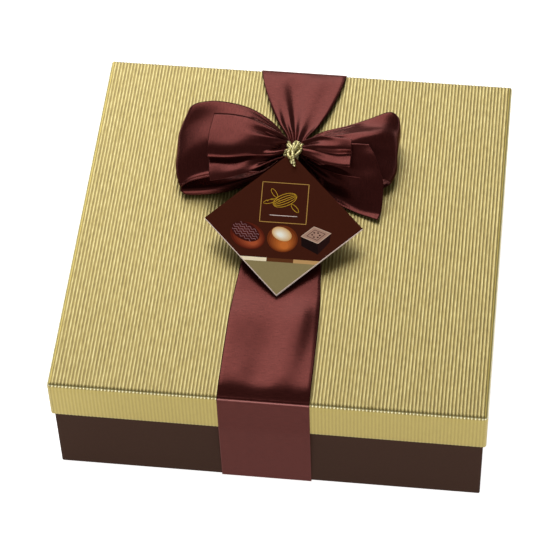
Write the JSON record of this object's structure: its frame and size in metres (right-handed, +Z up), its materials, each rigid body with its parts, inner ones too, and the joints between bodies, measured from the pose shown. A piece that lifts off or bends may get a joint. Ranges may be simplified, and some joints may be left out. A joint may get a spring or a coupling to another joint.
{
  "type": "gift box of chocolates",
  "caption": "Shut square gift box: dark base, fluted gold lid, satin ribbon round both with a gathered bow, a twisted gold tie and a square card hung by a corner.",
  "frame": {"origin": "middle of the box's footprint, on the surface that it stands on", "axes": "+Z up through the lid, -Y towards the side that the card points to, +X to the right of it"},
  "size_m": [0.19, 0.191, 0.0836],
  "materials": {
    "gold_paper": "pale gold metallised paper over fine flutes, satin gloss",
    "brown_board": "very dark brown paper, slight sheen",
    "satin": "burgundy brown satin ribbon",
    "gold_thread": "bright pale gold, twisted",
    "printed_card": "dark brown coated card with a plain printed pattern"
  },
  "bodies": {
    "root": {"base": "brown_board", "lid": "gold_paper", "ribbon_band": "satin", "bow": "satin", "gold_tie": "gold_thread", "card": "printed_card"}
  },
  "joints": []
}
